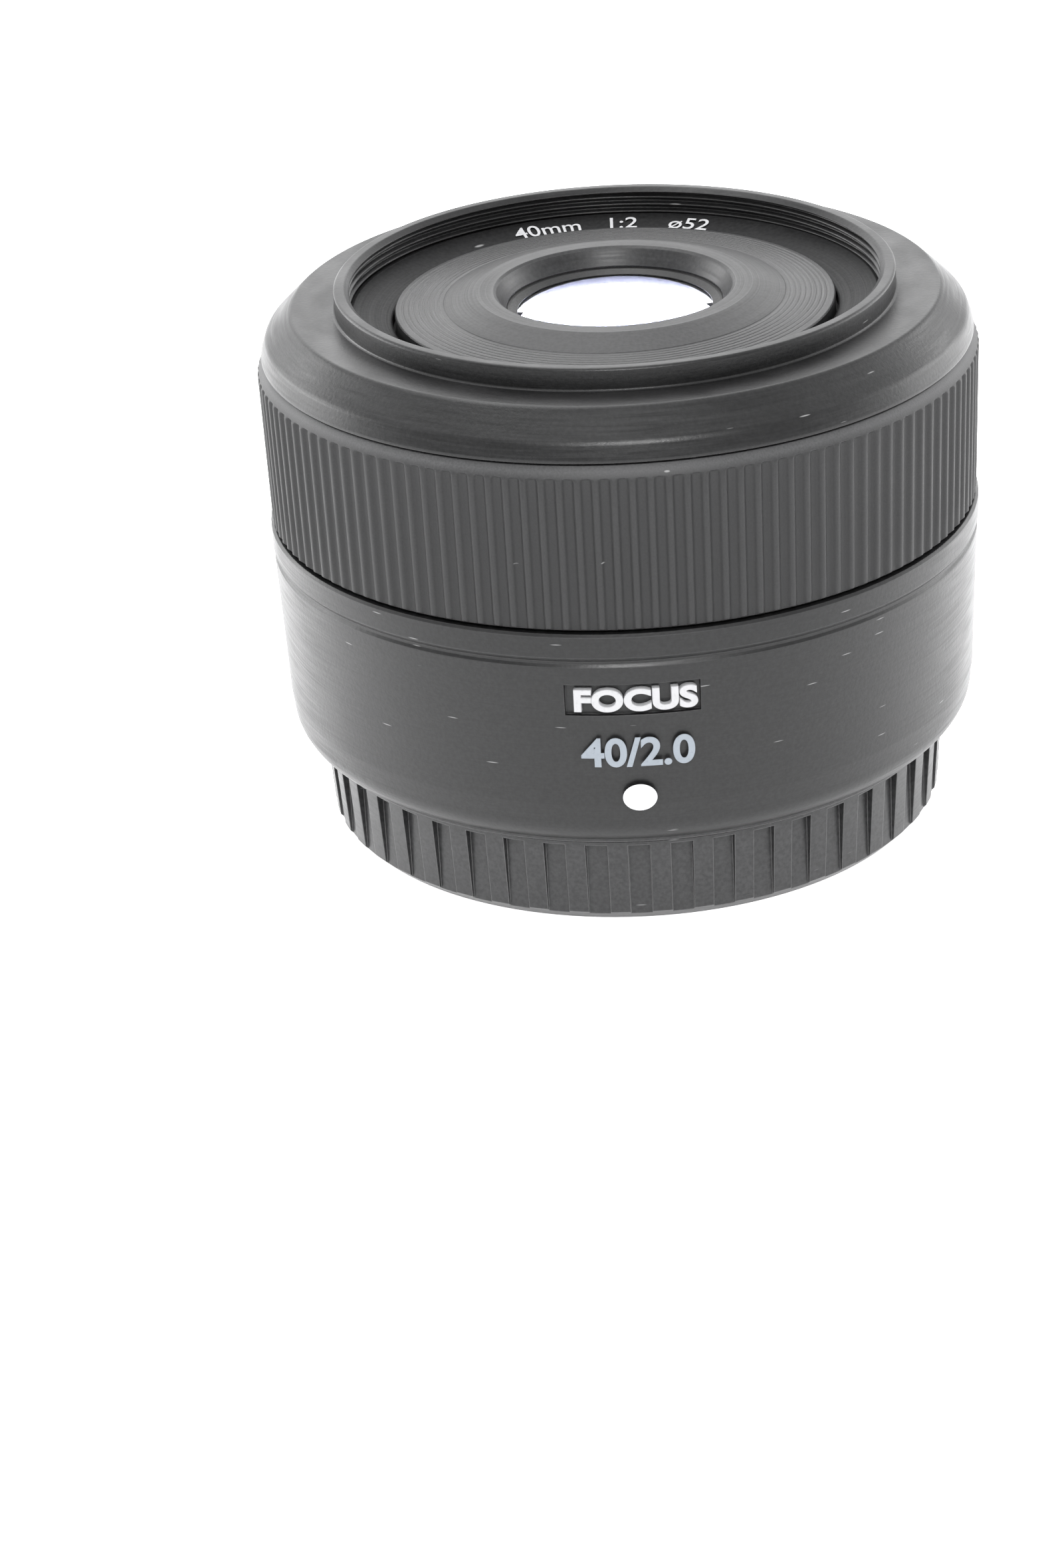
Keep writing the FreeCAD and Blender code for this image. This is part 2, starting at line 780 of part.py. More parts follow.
def pcb_components():
    """Chips, small parts and the strip's connector, all soldered to the board."""
    top = dim("chassis_floor") + 1.3
    items = [
        box("processor", 22.2, 26.8, -2.3, 2.3, top, top + 0.8, 270),
        box("motor_driver", 22.8, 26.0, -1.6, 1.6, top, top + 0.7, 310),
        box("ring_driver", 22.8, 26.0, -1.6, 1.6, top, top + 0.7, 190),
        box("strip_connector", 23.4, 25.4, -3.6, 3.6, top, top + 1.2, 90),
    ]
    for i, angle in enumerate((250, 256, 284, 290, 296, 330, 336, 60, 66)):
        items.append(box(f"passive{i}", 23.6, 24.8, -0.35, 0.35, top, top + 0.5, angle))
    return grouped("pcb_components", items)


def pcb_screws():
    top = dim("chassis_floor") + 1.3
    return screws("pcb_screws", 1.0, 0.5, 0.5, 2.0, [(24.5, a, top) for a in evenly(3, 110)], True)


def home_sensor():
    """The fork that tells where the optical unit stands."""
    base = box("home_base", 22.3, 30.2, -1.8, 1.8, 18.3, 19.6, 300)
    left = box("home_left", 22.3, 26.5, 0.6, 1.8, 19.6, 26.0, 300)
    right = box("home_right", 22.3, 26.5, -1.8, -0.6, 19.6, 26.0, 300)
    return fused("home_sensor", [base, left, right])


# ---------------------------------------------------------------- moving optical unit


def inner_barrel():
    """The front barrel that moves when focusing: ridged face, lip and the cone in front of the glass."""
    outer, wall = dim("unit_radius"), dim("unit_wall")
    front, lip = dim("unit_front"), dim("lip_height")
    grooves = 8
    pitch, depth, half_width = 0.5, 0.07, 0.11
    slope = 0.3 / 4.5
    corners = [(outer, 40.0), (outer, front - 0.12), (outer - 0.12, front)]
    for i in range(grooves):
        middle = outer - 0.75 - i * pitch
        height = front + (0.75 + i * pitch) * slope
        corners += [
            (middle + half_width, height),
            (middle + half_width * 0.5, height - depth),
            (middle - half_width * 0.5, height - depth),
            (middle - half_width, height),
        ]
    corners += [
        (outer - 4.7, front + 0.3),
        (outer - 4.8, front + 0.38),
        (13.7, lip - 0.08),
        (13.4, lip),
        (11.75, lip),
        (11.45, lip - 0.2),
        (10.5, lip - 1.65),
        (10.5, lip - 1.8),
        (13.0, lip - 1.8),
        (outer - wall, front - 1.5),
        (outer - wall, 40.0),
    ]
    return turned("inner_barrel", corners)


def front_cell():
    """Holds the front three elements and bolts to the unit carrier."""
    corners = [
        (10.45, 51.5), (13.0, 51.5), (13.6, 51.1), (13.6, 47.2), (20.0, 47.2), (20.0, 46.0),
        (13.0, 46.0), (11.4, 44.4), (11.4, 41.6), (9.65, 41.6), (9.65, 47.0), (9.1, 47.0),
        (9.1, 49.25), (10.45, 49.25),
    ]
    body = turned("front_cell", corners)
    add_pattern(body, add_plate(body, "hole", 45, 4, circle_at(17.6, 30, 0.6), pocket=True), 3)
    return body


def front_retaining_ring():
    corners = [(10.42, 50.76), (10.42, 51.5), (10.15, 51.5), (9.45, 51.16), (9.45, 51.09)]
    return turned("front_retaining_ring", corners)


def doublet_retainer():
    return turned("doublet_retainer", [(8.0, 41.6), (9.6, 41.6), (9.6, 42.0), (8.0, 42.0)])


def sag(bend, radius):
    """Height of a spherical cap of curvature radius `bend` at distance `radius` from its axis."""
    bend, radius = as_size(bend), as_size(radius)
    number = bend.value - math.sqrt(bend.value**2 - radius.value**2)
    return Size(number, f"({bend.text} - sqrt({bend.text} ^ 2 - {radius.text} ^ 2))")


def element(label, edge, front, rear, front_clear=None, rear_clear=None):
    """A glass element. front and rear are (vertex height, bend): a positive bend bulges outwards.
    A clear radius smaller than the edge leaves a flat ring round a hollow face."""
    front_clear, rear_clear = front_clear or edge, rear_clear or edge
    corners = []
    vertex, bend = as_size(front[0]), front[1]
    rim = vertex - sag(abs(bend), front_clear) * (1 if bend > 0 else -1)
    corners.append((0, vertex, -bend))
    corners.append((front_clear, rim))
    if front_clear != edge:
        corners.append((edge, rim))
    vertex, bend = as_size(rear[0]), rear[1]
    rim = vertex + sag(abs(bend), rear_clear) * (1 if bend > 0 else -1)
    if rear_clear != edge:
        corners.append((edge, rim))
    corners.append((rear_clear, rim, -bend))
    corners.append((0, vertex))
    return turned(label, corners)


def elements():
    """Six elements in four groups; the second with the third, and the fourth with the fifth, are
    cemented, with a hair of space left between their faces here."""
    cement = 0.02
    return [
        element("lens_1", 10.4, (52.55, 30), (50.0, -75)),
        element("lens_2", 9.6, (48.9, 22), (45.4 + cement, 60)),
        element("lens_3", 9.6, (45.4, -60), (44.3, -14), rear_clear=7.6),
        element("lens_4", 9.0, (34.6, -16), (33.6 + cement, -60), front_clear=7.4),
        element("lens_5", 9.0, (33.6, 60), (28.6, 24)),
        element("lens_6", 12.8, (24.6, 45), (19.2, 90)),
    ]


def unit_carrier():
    """The frame of the moving unit, with its rod sleeve, anti-turn fork and nut shelf."""
    outer = dim("unit_radius") - dim("unit_wall") - 0.05
    inner = outer - 1.25
    wall_low, wall_top = dim("mid_wall"), dim("iris_base")
    body = turned(
        "carrier_tube",
        [
            (inner, 24.5), (outer, 24.5), (outer, 46.0), (inner, 46.0),
            (inner, wall_top), (9.95, wall_top), (9.95, wall_low), (inner, wall_low),
        ],
    )
    add_pattern(body, add_plate(body, "boss", 42.2, 3.8, circle_at(17.7, 30, 1.4)), 3)
    add_pattern(body, add_plate(body, "boss_hole", 43.4, 3, circle_at(17.6, 30, 0.55), pocket=True), 3)
    add_pattern(body, add_plate(body, "cell_hole", 35, 3, circle_at(11.7, 0, 0.55), pocket=True), 3)
    add_pattern(body, add_plate(body, "iris_hole", 35, 3, circle_at(15.6, 30, 0.55), pocket=True), 3)
    rod, near = dim("rod_circle"), outer - 0.6
    solids = [
        body,
        cylinder("rod_sleeve", 2.3, 25, 36, rod, 0, 30),
        box("sleeve_web", near, rod - 1.6, -1.5, 1.5, 25, 36, 30),
        box("fork_arm", near, rod + 1.8, -2.2, 2.2, 30, 33, 210),
        box("nut_shelf", near, 27.6, -2.2, 2.2, 34.3, 35.5, 150),
    ]
    tools = [
        cylinder("sleeve_bore", 1.5, 24, 37, rod, 0, 30),
        box("fork_slot", rod - 1.1, rod + 3, -1.05, 1.05, 29, 34, 210),
        cylinder("shelf_hole", 1.3, 34, 36, dim("motor_circle"), 0, 150),
        cylinder("pinion_hole", 2.0, 35, 37.5, pinion_circle(), 0, 90),
    ]
    return cut("unit_carrier", fused("carrier_blank", solids), tools)


def guide_bushes():
    """Two bronze bushes in the sleeve that runs on the main rod."""
    rod = dim("rod_circle")
    rings = []
    for i, low in enumerate((25, 33)):
        outer = cylinder(f"bush_outer{i}", 1.48, low, low + 3, rod, 0, 30)
        bore = cylinder(f"bush_bore{i}", dim("rod_radius") + dim("running_gap"), low - 1, low + 4, rod, 0, 30)
        rings.append(cut(f"bush{i}", outer, [bore]))
    return grouped("guide_bushes", rings)


def focus_nut():
    """The nut on the lead screw."""
    circle = dim("motor_circle")
    block = box("nut_block", circle - 2.2, circle + 2.2, -2.2, 2.2, 35.5, 38.5, 150)
    return cut("focus_nut", block, [cylinder("nut_bore", 0.95, 35, 39, circle, 0, 150)])


def home_flag():
    """The vane that enters the home sensor."""
    foot = box("flag_foot", 20.12, 20.7, -2, 2, 26.5, 31, 300)
    vane = box("flag_vane", 20.6, 25.4, -0.3, 0.3, 26.5, 31, 300)
    return fused("home_flag", [foot, vane])


def unit_screws():
    """Nine like screws: front cell, rear cell and iris cover, three each."""
    up = screws("cell_screws", 0.95, 0.5, 0.5, 3.6, [(17.6, a, 47.2) for a in evenly(3, 30)], True)
    down = screws("rear_screws", 0.95, 0.5, 0.5, 2.4, [(11.7, a, 34.3) for a in evenly(3)], False)
    lid = screws("lid_screws", 0.95, 0.5, 0.5, 5.0, [(15.6, a, 41.2) for a in evenly(3, 30)], True)
    return grouped("unit_screws", [up, down, lid])


def rear_cell():
    """Holds the rear three elements."""
    corners = [
        (9.85, 36.6), (9.85, 35.5), (12.9, 35.5), (12.9, 34.3), (10.4, 34.3), (10.4, 28.6),
        (14.0, 24.9), (14.0, 18.9), (12.85, 18.9), (12.85, 23.0), (12.2, 23.0), (12.2, 24.4),
        (8.2, 28.0), (8.2, 29.95), (9.05, 29.95), (9.05, 36.6),
    ]
    body = turned("rear_cell", corners)
    add_pattern(body, add_plate(body, "hole", 34, 2, circle_at(11.7, 0, 0.6), pocket=True), 3)
    return body


def rear_retaining_ring():
    return turned("rear_retaining_ring", [(11.6, 18.9), (12.8, 18.9), (12.8, 20.0), (11.6, 19.85)])


# ---------------------------------------------------------------- iris


def pinion_circle():
    """Distance of the pinion from the optical axis: the two pitch radii together."""
    return dim("gear_module") * (dim("drive_teeth") + dim("pinion_teeth")) / 2


def iris_base():
    """The plate the blades turn on, with three posts for the cover."""
    low = dim("iris_base")
    opening, outer, high = dim("open_radius") - 0.2, 16.4, low + 0.8
    corners = [(opening, low), (outer, low), (outer, high), (opening, high)]
    body = turned("iris_base", corners)
    add_pattern(body, add_plate(body, "post", low + 0.8, 2.9, circle_at(15.6, 30, 0.72)), 3)
    add_pattern(body, add_plate(body, "post_hole", low - 1, 6, circle_at(15.6, 30, 0.52), pocket=True), 3)
    pivot = circle_at(dim("blade_pivot_circle"), 0, 0.35 + dim("running_gap"))
    add_pattern(body, add_plate(body, "pivot", low - 1, 3, pivot, pocket=True), count("blade_count"))
    add_plate(body, "pinion_gap", low - 1, 3, circle_at(pinion_circle(), 90, 2.0), pocket=True)
    return body


def iris_cover():
    low = dim("drive_level") + 1.0
    body = turned(
        "iris_cover",
        [
            (dim("open_radius") + 0.1, low + 0.6),
            (dim("open_radius") + 0.1, low),
            (11.2, low),
            (11.2, low - 0.85),
            (11.6, low - 0.85),
            (11.6, low),
            (16.4, low),
            (16.4, low + 0.6),
        ],
    )
    add_pattern(body, add_plate(body, "hole", low - 1, 3, circle_at(15.6, 30, 0.6), pocket=True), 3)
    add_plate(body, "pinion_gap", low - 0.5, 3, circle_at(pinion_circle(), 90, 2.0), pocket=True)
    return body


def blade_pin_spot(share):
    """Where a blade's drive pin is, for the blade at angle 0, when the iris is `share` closed."""
    turn = math.radians(DIMENSIONS["blade_turn"]) * share
    lever = DIMENSIONS["blade_lever"]
    return DIMENSIONS["blade_pivot_circle"] + lever * math.sin(turn), -lever * math.cos(turn)


def slot_spot(share):
    """The same pin as the drive ring sees it: the ring has turned by its own share."""
    x, y = blade_pin_spot(share)
    back = -math.radians(DIMENSIONS["drive_turn"]) * share
    return x * math.cos(back) - y * math.sin(back), x * math.sin(back) + y * math.cos(back)


def slot_outline(sketch):
    """The curved slot that keeps every blade's turn in constant proportion to the ring's."""
    steps = 6
    half = 0.35 + 0.09
    left, right = [], []
    for i in range(steps + 1):
        share = -0.03 + 1.06 * i / steps
        x0, y0 = slot_spot(share - 0.01)
        x1, y1 = slot_spot(share + 0.01)
        length = math.hypot(x1 - x0, y1 - y0)
        nx, ny = -(y1 - y0) / length, (x1 - x0) / length
        x, y = slot_spot(share)
        left.append((x + nx * half, y + ny * half))
        right.append((x - nx * half, y - ny * half))
    ends = []
    for share, way in ((-0.03, -1), (1.03, 1)):
        x, y = slot_spot(share)
        x1, y1 = slot_spot(share + 0.02 * way)
        length = math.hypot(x1 - x, y1 - y)
        ends.append((x + (x1 - x) / length * half, y + (y1 - y) / length * half))
    draw_outline(sketch, left + [ends[1]] + right[::-1] + [ends[0]])


def gear_teeth(sketch, teeth, first, last, inner):
    """Draws a toothed edge from tooth `first` to `last`, closed along the radius `inner`."""
    module = DIMENSIONS["gear_module"]
    pitch = module * teeth / 2
    step = 2 * math.pi / teeth
    profile = ((pitch - 1.2 * module, 0.30), (pitch, 0.19), (pitch + 0.9 * module, 0.09))
    points = []
    for number in range(first, last + 1):
        middle = number * step
        points += [polar(r, middle - share * step) for r, share in profile]
        points += [polar(r, middle + share * step) for r, share in reversed(profile)]
    if inner is not None:
        points += [polar(inner, last * step + 0.3 * step), polar(inner, first * step - 0.3 * step)]
    draw_outline(sketch, points)


def polar(radius, angle):
    return radius * math.cos(angle), radius * math.sin(angle)


def iris_ring():
    """The slotted ring that opens and closes all the blades together."""
    low = dim("drive_level")
    body = turned("iris_ring", [(11.65, low), (14.55, low), (14.55, low + 0.8), (11.65, low + 0.8)])
    add_plate(body, "teeth", low, 0.8, lambda s: gear_teeth(s, count("drive_teeth"), 18, 26, 14.3))
    slot = add_plate(body, "slot", low - 1, 3, slot_outline, pocket=True)
    add_pattern(body, slot, count("blade_count"))
    return body


def iris_blade(index):
    """One leaf: a curved band, its tab, the pivot pin below and the drive pin above."""
    level = dim("blade_level") + dim("blade_step") * index
    thin = dim("blade_thickness")
    pivot, lever = dim("blade_pivot_circle"), dim("blade_lever")
    body = new_body(f"iris_blade_{index + 1}")
    band = sector(dim("open_radius"), dim("blade_outer_radius"), 0, 118)
    add_plate(body, "band", level, thin, band)

    def tab(sketch):
        corners = [(10.6, 0.7), (10.6, -0.6), (pivot - 0.75, -lever - 0.3), (pivot + 0.0, -lever - 0.75)]
        corners += [(pivot + 0.75, -lever - 0.2), (pivot + 0.8, 0.3), (pivot + 0.2, 0.8)]
        corners += [(11.3, 1.6), (10.6, 1.6)]
        draw_outline(sketch, corners)

    add_plate(body, "tab", level, thin, tab)
    foot = dim("iris_base") + 0.15
    add_plate(body, "pivot", foot, level + thin - foot, lambda s: draw_circle(s, pivot, 0, 0.35))
    head = dim("drive_level") + 0.7
    add_plate(body, "drive_pin", level, head - level, lambda s: draw_circle(s, pivot, -lever, 0.35))
    body.Placement.Rotation = FreeCAD.Rotation(Z_AXIS, 360.0 / count("blade_count") * index)
    return body


def iris_motor():
    circle = pinion_circle()
    can = cylinder("iris_can", 2.45, 26.5, 35.4, circle, 0, 90)
    return cut("iris_motor", can, [cylinder("iris_can_bore", 0.45, 32.9, 36, circle, 0, 90)])


def iris_pinion():
    low = dim("drive_level") - 0.1
    body = new_body("iris_pinion_gear")
    teeth = count("pinion_teeth")
    add_plate(body, "teeth", low, 1.0, lambda s: gear_teeth(s, teeth, 0, teeth - 1, None))
    turn = FreeCAD.Rotation(Z_AXIS, 90 + 180 - 180.0 / teeth)
    place(body, pinion_circle(), 0, 0, 90)
    body.Placement.Rotation = turn
    shaft = cylinder("pinion_shaft", 0.4, 33.1, 40.9, pinion_circle(), 0, 90)
    return fused("iris_pinion", [body, shaft])


# ---------------------------------------------------------------- rear cap


def rear_cap():
    """The push-and-twist cap over the bayonet, with a ribbed grip."""
    top, radius, bore = dim("cap_height"), dim("cap_radius"), dim("cap_bore_radius")
    floor = dim("cap_floor")
    body = turned(
        "rear_cap",
        [
            (0, 0.35),
            (26.4, 0.35),
            (26.8, 0),
            (radius - 1.6, 0),
            (radius - 0.5, 1.1),
            (radius, top - 0.3),
            (radius - 0.3, top),
            (bore, top),
            (bore, floor + 0.6),
            (bore - 0.6, floor),
            (0, floor),
        ],
    )
    tab = add_plate(body, "tab", 6.7, 1.3, sector(26.0, bore + 0.4, -17, 17))
    add_pattern(body, tab, 4)
    width = 360.0 / count("cap_ribs") * 0.26
    recess = sector(radius - 0.75, radius + 1, -width, width)
    recess = add_plate(body, "recess", -1, top + 0.4, recess, pocket=True)
    add_pattern(body, recess, count("cap_ribs"))
    return body


def pieces():
    """Every separate piece of the lens, each one node."""
    blades = [iris_blade(i) for i in range(count("blade_count"))]
    return [
        rear_cap(), bayonet_mount(), mount_screws(), contact_block(), contact_pins(), contact_flex(),
        rear_baffle(), baffle_screws(), main_chassis(), ring_carrier(), frame_screws(), rear_barrel(),
        front_bezel(), name_ring(), barrel_seal(), focus_ring(), encoder_comb(), encoder_sensors(),
        guide_rod("guide_rod_main", 30), guide_rod("guide_rod_side", 210), focus_motor(),
        motor_bracket(), bracket_screws(), lead_screw(), main_pcb(), pcb_components(), pcb_screws(),
        home_sensor(), inner_barrel(), front_cell(), front_retaining_ring(), doublet_retainer(),
        unit_carrier(), guide_bushes(), focus_nut(), home_flag(), unit_screws(), rear_cell(),
        rear_retaining_ring(), iris_base(), iris_cover(), iris_ring(), iris_motor(), iris_pinion(),
    ] + elements() + blades


def check(nodes):
    """Stops before anything is written if an object failed or a piece is not sound."""
    for item in DOC.Objects:
        for state in item.State:
            if state in ("Invalid", "Error"):
                raise SystemExit(f"{item.Label} is {state}")
    for node in nodes:
        if node.Shape.isNull() or not node.Shape.isValid() or not node.Shape.Solids:
            raise SystemExit(f"{node.Label} is not a sound solid")


def main():
    fill_sheet()
    nodes = pieces()
    DOC.recompute()
    check(nodes)
    os.makedirs("parts", exist_ok=True)
    for node in nodes:
        node.Shape.exportStep(os.path.join("parts", node.Label + ".step"))
        print(f"{node.Label}: {len(node.Shape.Solids)} solids, {node.Shape.Volume:.1f} mm3")
    print(len(nodes), "nodes")


main()
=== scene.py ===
"""Looks for the prime camera lens: its front shell, markings, materials and studio.

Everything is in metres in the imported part's own frame: the rear cap's underside is at z = 0, the
optical axis is +Z, and -Y is the side with the badge and the index dot.
"""

import json
import math

import bmesh
import bpy
from mathutils import Matrix, Vector


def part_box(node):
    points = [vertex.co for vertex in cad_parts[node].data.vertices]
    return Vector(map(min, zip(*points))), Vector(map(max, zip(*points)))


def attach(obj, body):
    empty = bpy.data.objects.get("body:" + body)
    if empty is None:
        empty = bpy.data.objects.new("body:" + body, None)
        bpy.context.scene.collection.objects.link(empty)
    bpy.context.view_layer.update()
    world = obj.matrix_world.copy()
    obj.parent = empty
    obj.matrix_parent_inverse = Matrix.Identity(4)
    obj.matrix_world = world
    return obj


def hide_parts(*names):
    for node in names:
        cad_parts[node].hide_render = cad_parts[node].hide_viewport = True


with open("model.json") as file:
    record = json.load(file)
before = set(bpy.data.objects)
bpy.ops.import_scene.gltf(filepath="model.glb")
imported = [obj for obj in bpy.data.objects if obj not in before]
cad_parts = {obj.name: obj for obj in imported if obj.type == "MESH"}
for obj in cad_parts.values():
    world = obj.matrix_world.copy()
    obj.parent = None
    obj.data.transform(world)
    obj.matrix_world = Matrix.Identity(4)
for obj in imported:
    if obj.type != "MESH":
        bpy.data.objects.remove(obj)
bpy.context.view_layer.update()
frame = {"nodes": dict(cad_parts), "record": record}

MM = 0.001
NODES = frame["nodes"]
MOUNTS = {mount["name"]: mount for mount in frame["record"]["mounts"]}


# ---------------------------------------------------------------- shader graphs


class Graph:
    """A material's node tree, with short ways to add the nodes used here."""

    def __init__(self, name):
        self.material = bpy.data.materials.new(name)
        self.material.use_nodes = True
        self.tree = self.material.node_tree
        self.tree.nodes.clear()
        self.place = self.add("ShaderNodeTexCoord").outputs["Object"]

    def add(self, kind, inputs=None, **settings):
        node = self.tree.nodes.new(kind)
        for key, value in settings.items():
            setattr(node, key, value)
        for key, value in (inputs or {}).items():
            if isinstance(value, bpy.types.NodeSocket):
                self.tree.links.new(value, node.inputs[key])
            else:
                node.inputs[key].default_value = value
        return node

    def sums(self, operation, first, second=0.0):
        return self.add("ShaderNodeMath", {0: first, 1: second}, operation=operation).outputs[0]

    def stretched(self, x, y, z):
        """Object coordinates times a number per axis, in features per metre."""
        return self.add("ShaderNodeMapping", {"Vector": self.place, "Scale": (x, y, z)}).outputs[0]

    def ringed(self, across, along):
        """Coordinates that change fast outwards from the optical axis and slowly round it."""
        parts = self.add("ShaderNodeSeparateXYZ", {0: self.place}).outputs
        square = self.sums("ADD", self.sums("POWER", parts[0], 2.0), self.sums("POWER", parts[1], 2.0))
        radius = self.sums("MULTIPLY", self.sums("SQRT", square), across)
        x = self.sums("MULTIPLY", parts[0], along)
        y = self.sums("MULTIPLY", parts[1], along)
        return self.add("ShaderNodeCombineXYZ", {0: radius, 1: x, 2: y}).outputs[0]

    def noise(self, vector, scale=1.0, detail=3.0, roughness=0.55):
        inputs = {"Vector": vector, "Scale": scale, "Detail": detail, "Roughness": roughness}
        return self.add("ShaderNodeTexNoise", inputs).outputs["Fac"]

    def spread(self, value, low, high, to_low=0.0, to_high=1.0):
        inputs = {"Value": value, "From Min": low, "From Max": high, "To Min": to_low, "To Max": to_high}
        return self.add("ShaderNodeMapRange", inputs).outputs[0]

    def mixed(self, share, first, second):
        """A colour between two others."""
        node = self.add("ShaderNodeMix", data_type="RGBA")
        for socket, value in zip((0, 6, 7), (share, first, second)):
            if isinstance(value, bpy.types.NodeSocket):
                self.tree.links.new(value, node.inputs[socket])
            else:
                node.inputs[socket].default_value = value
        return node.outputs[2]

    def soft_edges(self, radius):
        """The normal that a small round on every edge would give, and a mask of where it differs."""
        soft = self.add("ShaderNodeBevel", {"Radius": radius}, samples=4).outputs[0]
        flat = self.add("ShaderNodeNewGeometry").outputs["Normal"]
        dot = self.add("ShaderNodeVectorMath", {0: soft, 1: flat}, operation="DOT_PRODUCT").outputs["Value"]
        return soft, self.spread(dot, 0.995, 0.9)

    def bump(self, height, distance, normal=None):
        inputs = {"Height": height, "Distance": distance, "Strength": 1.0}
        if normal is not None:
            inputs["Normal"] = normal
        return self.add("ShaderNodeBump", inputs).outputs[0]

    def specks(self, x, y, z, share, size):
        """A mask of scattered dust specks: a few of the cells of a stretched grid carry one."""
        cells = self.add("ShaderNodeTexVoronoi", {"Vector": self.stretched(x, y, z), "Scale": 1.0})
        chosen = self.add("ShaderNodeSeparateColor", {0: cells.outputs["Color"]}).outputs[0]
        near = self.spread(cells.outputs["Distance"], size, size * 0.5)
        return self.sums("MULTIPLY", near, self.sums("GREATER_THAN", chosen, 1.0 - share))

    def finish(self, **inputs):
        """Ends the graph in one Principled shader; a socket's name is written with underscores."""
        sockets = {key.replace("_", " "): value for key, value in inputs.items()}
        shader = self.add("ShaderNodeBsdfPrincipled", sockets)
        output = self.add("ShaderNodeOutputMaterial")
        self.tree.links.new(shader.outputs[0], output.inputs["Surface"])
        return self.material


def grey(level, blue=1.0):
    return (level, level, level * blue, 1.0)


def black_shell(name, tone, roughness, lines, grain, across=None, dust=0.02, edge=0.12, gloss=0.5):
    """Black painted or moulded shell with fine turned lines, grain, dust, and paler edges that are partly
    wear and partly a painted highlight.

    `lines` is how strongly the turned lines show; `across` is a vector of radial coordinates for a
    face that looks along the axis, and without it the lines run round an upright wall."""
    graph = Graph(name)
    hair = graph.noise(across(graph) if across else graph.stretched(150, 150, 5200), detail=4)
    fine = graph.noise(graph.stretched(1, 1, 1), 2600, 3)
    cloud = graph.noise(graph.stretched(1, 1, 1), 90, 3)
    soft, rims = graph.soft_edges(edge * MM)
    shade = graph.sums("MULTIPLY", graph.spread(cloud, 0.3, 0.7, 0.88, 1.12),
                       graph.spread(hair, 0.25, 0.75, 1.0 - lines, 1.0 + lines))
    shade = graph.sums("MULTIPLY", shade, graph.spread(fine, 0.35, 0.65, 0.7, 1.3))
    level = graph.sums("MULTIPLY", shade, tone)
    base = graph.add("ShaderNodeCombineColor", {0: level, 1: level, 2: graph.sums("MULTIPLY", level, 1.03)})
    # paler edges: partly wear, partly a painted highlight for the bright lines that light draws along the
    # edges
    wear_and_edge_highlight = graph.mixed(graph.sums("MULTIPLY", rims, 0.7), base.outputs[0], grey(0.02 + tone * 8))
    dusty = graph.specks(300, 300, 3200, dust, 0.2)
    colour = graph.mixed(graph.sums("MULTIPLY", dusty, 0.6), wear_and_edge_highlight, grey(0.4))
    rough = graph.sums("ADD", graph.spread(hair, 0.3, 0.7, roughness - 0.07, roughness + 0.07),
                       graph.spread(cloud, 0.3, 0.7, -0.03, 0.03))
    rough = graph.sums("ADD", rough, graph.sums("MULTIPLY", dusty, 0.3))
    normal = graph.bump(hair, 0.004 * MM * (1 + 3 * lines), soft)
    normal = graph.bump(fine, grain * MM, normal)
    return graph.finish(Base_Color=colour, Roughness=rough, Normal=normal, Specular_IOR_Level=gloss)


def turned_lines(graph):
    return graph.ringed(7000, 60)


def rib_rubber(name):
    """The control ring's matt moulding: grainy, with painted shade in the grooves, painted light on the
    crests, a painted highlight on the top chamfer, and paler edges that are partly wear and partly a
    painted highlight.
    """
    graph = Graph(name)
    fine = graph.noise(graph.stretched(1, 1, 1), 5200, 3)
    cloud = graph.noise(graph.stretched(1, 1, 1), 120, 3)
    parts = graph.add("ShaderNodeSeparateXYZ", {0: graph.place}).outputs
    square = graph.sums("ADD", graph.sums("POWER", parts[0], 2.0), graph.sums("POWER", parts[1], 2.0))
    crest_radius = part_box("focus_ring")[1].x
    crest = graph.spread(graph.sums("SQRT", square), crest_radius - 0.75 * MM, crest_radius - 0.1 * MM)
    soft, rims = graph.soft_edges(0.1 * MM)
    # painted shade and light: the grooves are darker and the crests paler, set by distance from the axis
    groove_shade_tone, crest_light_tone, chamfer_highlight_gain = 0.017, 0.027, 0.055
    # painted highlight: the top chamfer band is made paler
    chamfer = graph.spread(parts[2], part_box("focus_ring")[1].z - 1.1 * MM,
                           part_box("focus_ring")[1].z - 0.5 * MM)
    level = graph.sums("ADD", graph.spread(crest, 0.0, 1.0, groove_shade_tone, crest_light_tone),
                       graph.sums("MULTIPLY", chamfer, chamfer_highlight_gain))
    level = graph.sums("MULTIPLY", level, graph.spread(cloud, 0.3, 0.7, 0.88, 1.12))
    level = graph.sums("MULTIPLY", level, graph.spread(fine, 0.3, 0.7, 0.8, 1.2))
    base = graph.add("ShaderNodeCombineColor", {0: level, 1: level, 2: graph.sums("MULTIPLY", level, 1.02)})
    # paler edges: partly wear, partly a painted highlight
    wear_and_edge_highlight = graph.mixed(graph.sums("MULTIPLY", rims, 0.3), base.outputs[0], grey(0.13))
    dusty = graph.specks(500, 500, 1500, 0.012, 0.16)
    colour = graph.mixed(graph.sums("MULTIPLY", dusty, 0.7), wear_and_edge_highlight, grey(0.4))
    rough = graph.sums("ADD", graph.spread(cloud, 0.3, 0.7, 0.52, 0.62),
                       graph.spread(fine, 0.3, 0.7, -0.05, 0.05))
    normal = graph.bump(fine, 0.02 * MM, soft)
    return graph.finish(Base_Color=colour, Roughness=rough, Normal=normal)


